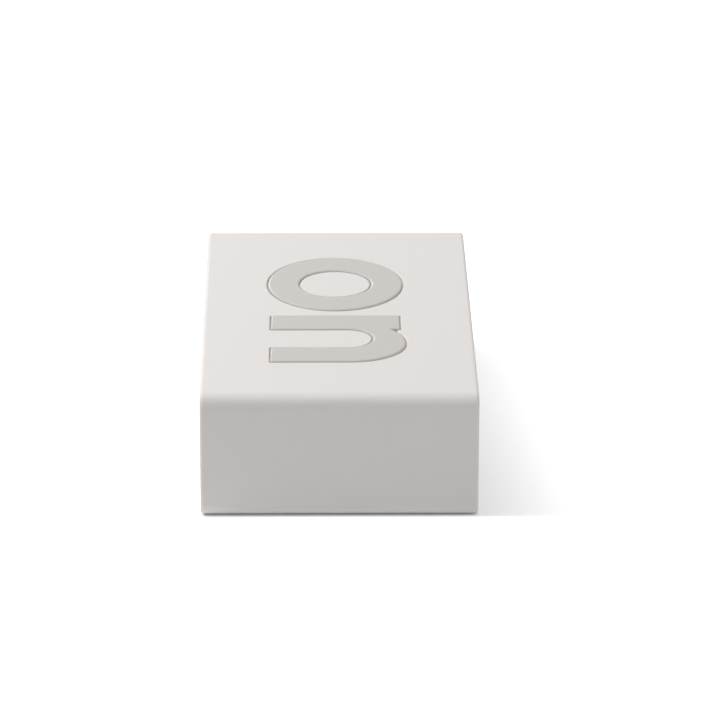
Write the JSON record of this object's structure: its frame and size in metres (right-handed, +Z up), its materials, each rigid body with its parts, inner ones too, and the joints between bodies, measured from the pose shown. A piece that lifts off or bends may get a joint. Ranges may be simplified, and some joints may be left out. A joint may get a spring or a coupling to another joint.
{
  "type": "flip alarm clock",
  "caption": "Low rounded block clock, turned over to switch its alarm on or off, with a front display, rear setting buttons and a hinged battery door.",
  "frame": {"origin": "centre of the footprint, on the surface that the clock lies on with its on face up", "axes": "+X along the length, to the right of a person who looks at the display; the display faces -Y; +Z up through the on face"},
  "size_m": [0.105, 0.06, 0.0285],
  "materials": {
    "soft_touch_white": "fine soft-touch texture, matt",
    "letter_grey": "smooth satin",
    "dark_plastic": "moulded satin",
    "grey_plastic": "fine moulded texture",
    "clear_window": "clear gloss",
    "display_glass": "polished glass with a faint tint",
    "white_plastic": "moulded satin",
    "black_rubber": "matt",
    "board_green": "solder mask",
    "steel": "nickel-plated",
    "cell_wrap": "plain wrap over a metal can",
    "red_insulation": "smooth insulation",
    "black_insulation": "smooth insulation"
  },
  "bodies": {
    "case": {"case_sleeve": "soft_touch_white", "on_letter_o": "letter_grey", "on_letter_n": "letter_grey", "off_letter_o": "letter_grey", "off_letter_f_1": "letter_grey", "off_letter_f_2": "letter_grey", "front_bezel": "dark_plastic", "display_lens": "clear_window", "lcd_front_glass": "display_glass", "lcd_rear_glass": "display_glass", "diffuser_sheet": "white_plastic", "light_guide": "clear_window", "reflector_sheet": "white_plastic", "backlight_led": "white_plastic", "display_frame": "white_plastic", "zebra_strip": "black_rubber", "main_board": "board_green", "controller_blob": "black_rubber", "crystal": "steel", "capacitor": "black_insulation", "tilt_switch_can": "steel", "tilt_switch_base": "black_rubber", "board_screw_1": "steel", "board_screw_2": "steel", "board_screw_3": "steel", "board_screw_4": "steel", "rear_screw_1": "steel", "rear_screw_2": "steel", "rear_screw_3": "steel", "rear_screw_4": "steel", "rear_cover": "grey_plastic", "battery_cell_1": "cell_wrap", "battery_cell_2": "cell_wrap", "battery_spring_1": "steel", "battery_spring_2": "steel", "contact_link_plate": "steel", "contact_plate_positive": "steel", "contact_plate_negative": "steel", "switch_body_1": "dark_plastic", "switch_body_2": "dark_plastic", "switch_body_3": "dark_plastic", "switch_body_4": "dark_plastic", "button_board": "board_green", "buzzer": "dark_plastic", "red_lead": "red_insulation", "black_lead": "black_insulation", "ribbon_cable": "grey_plastic"},
    "door": {"battery_door": "grey_plastic"},
    "set_key": {"set_button": "white_plastic", "switch_stem_1": "black_rubber"},
    "alarm_key": {"alarm_button": "white_plastic", "switch_stem_2": "black_rubber"},
    "plus_key": {"plus_button": "white_plastic", "switch_stem_3": "black_rubber"},
    "minus_key": {"minus_button": "white_plastic", "switch_stem_4": "black_rubber"},
    "tilt_ball": {"tilt_switch_ball": "steel"}
  },
  "joints": [
    {"name": "door_hinge", "type": "hinge", "parent": "case", "child": "door", "pos_m": [-0.0397, 0.0278, 0.01425], "axis": [0, 0, 1], "range_deg": [0, 90]},
    {"name": "set_press", "type": "slide", "parent": "case", "child": "set_key", "axis": [0, -1, 0], "range_m": [0, 0.0005], "stiffness_N_per_m": 800, "springref_m": -0.0005},
    {"name": "alarm_press", "type": "slide", "parent": "case", "child": "alarm_key", "axis": [0, -1, 0], "range_m": [0, 0.0005], "stiffness_N_per_m": 800, "springref_m": -0.0005},
    {"name": "plus_press", "type": "slide", "parent": "case", "child": "plus_key", "axis": [0, -1, 0], "range_m": [0, 0.0005], "stiffness_N_per_m": 800, "springref_m": -0.0005},
    {"name": "minus_press", "type": "slide", "parent": "case", "child": "minus_key", "axis": [0, -1, 0], "range_m": [0, 0.0005], "stiffness_N_per_m": 800, "springref_m": -0.0005},
    {"name": "tilt_fall", "type": "slide", "parent": "case", "child": "tilt_ball", "axis": [0, 0, 1], "range_m": [0, 0.0033]}
  ]
}
